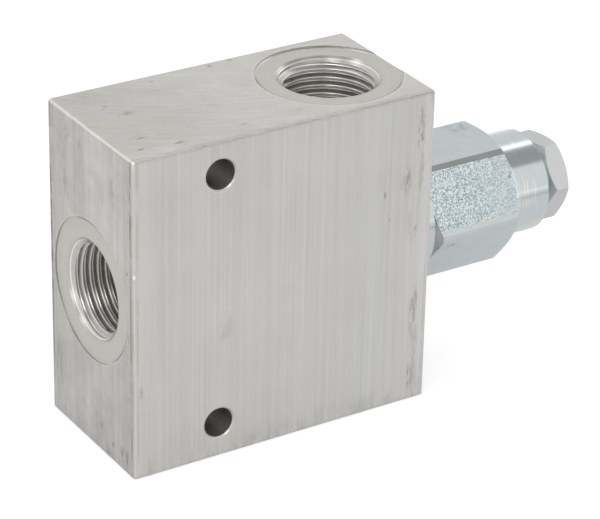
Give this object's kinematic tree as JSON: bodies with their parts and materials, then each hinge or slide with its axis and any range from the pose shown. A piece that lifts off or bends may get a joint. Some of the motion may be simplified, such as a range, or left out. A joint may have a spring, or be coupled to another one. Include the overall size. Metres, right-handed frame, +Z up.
{
  "type": "counterbalance valve",
  "caption": "Counterbalance valve: a screw-in cartridge with a floating seat, piloted poppet and spring adjuster in a drilled aluminium block with threaded ports.",
  "frame": {"origin": "centre of the block's base face", "axes": "+Z up from the base towards the valve port; +X along the cartridge from its nose to its adjusting screw; -Y is the front face in the picture"},
  "size_m": [0.1141, 0.035, 0.0704],
  "materials": {
    "drawn_aluminium": "as drawn, sawn ends, machined ports",
    "zinc_plated_steel": "bright zinc plated",
    "zinc_plated_nut": "zinc plated, satin",
    "black_steel": "black oxide",
    "spring_steel": "drawn wire, ends ground",
    "ground_steel": "hardened and ground",
    "nitrile_rubber": "moulded",
    "ptfe": "skived"
  },
  "bodies": {
    "block_assembly": {"valve_block": "drawn_aluminium", "cartridge_body": "zinc_plated_steel", "cage": "ground_steel", "check_spring": "spring_steel", "nose_ring": "ground_steel", "stem_seal": "nitrile_rubber", "stem_backup_ring": "ptfe", "main_spring": "spring_steel", "spring_cap": "zinc_plated_steel", "collar_seal": "nitrile_rubber", "cap_seal": "nitrile_rubber", "body_seal": "nitrile_rubber", "body_backup_ring": "ptfe", "cage_seal": "nitrile_rubber", "cage_backup_ring_1": "ptfe", "cage_backup_ring_2": "ptfe"},
    "floating_seat": {"check_seat": "ground_steel"},
    "poppet": {"relief_poppet": "ground_steel", "pilot_piston": "ground_steel", "piston_seal": "nitrile_rubber", "lower_spring_seat": "ground_steel"},
    "adjuster_seat": {"upper_spring_seat": "ground_steel", "adjuster_seal": "nitrile_rubber"},
    "adjuster": {"adjusting_screw": "black_steel"},
    "washer": {"sealing_washer": "zinc_plated_nut", "sealing_lip": "nitrile_rubber"},
    "nut": {"locknut": "zinc_plated_nut"}
  },
  "joints": [
    {"name": "poppet_lift", "type": "slide", "parent": "block_assembly", "child": "poppet", "axis": [1, 0, 0], "range_m": [0, 0.002], "stiffness_N_per_m": 35000, "springref_m": -0.003, "deforming": ["main_spring"]},
    {"name": "check_lift", "type": "slide", "parent": "block_assembly", "child": "floating_seat", "axis": [-1, 0, 0], "range_m": [0, 0.002], "stiffness_N_per_m": 900, "springref_m": -0.002, "deforming": ["check_spring"]},
    {"name": "adjuster_advance", "type": "slide", "parent": "block_assembly", "child": "adjuster_seat", "axis": [-1, 0, 0], "range_m": [-0.002, 0.003], "deforming": ["main_spring"]},
    {"name": "adjuster_turn", "type": "hinge", "parent": "adjuster_seat", "child": "adjuster", "pos_m": [0.0632, 0, 0.0352], "axis": [-1, 0, 0], "range_deg": [-481, 721]},
    {"name": "locknut_advance", "type": "slide", "parent": "block_assembly", "child": "washer", "axis": [1, 0, 0], "range_m": [0, 0.0015]},
    {"name": "locknut_turn", "type": "hinge", "parent": "washer", "child": "nut", "pos_m": [0.0726, 0, 0.0352], "axis": [1, 0, 0], "range_deg": [0, 361]}
  ],
  "couplings": [
    {"joint": "adjuster_turn", "follows": "adjuster_advance", "rad_per_m": 4188.8},
    {"joint": "locknut_turn", "follows": "locknut_advance", "rad_per_m": 4188.8}
  ]
}
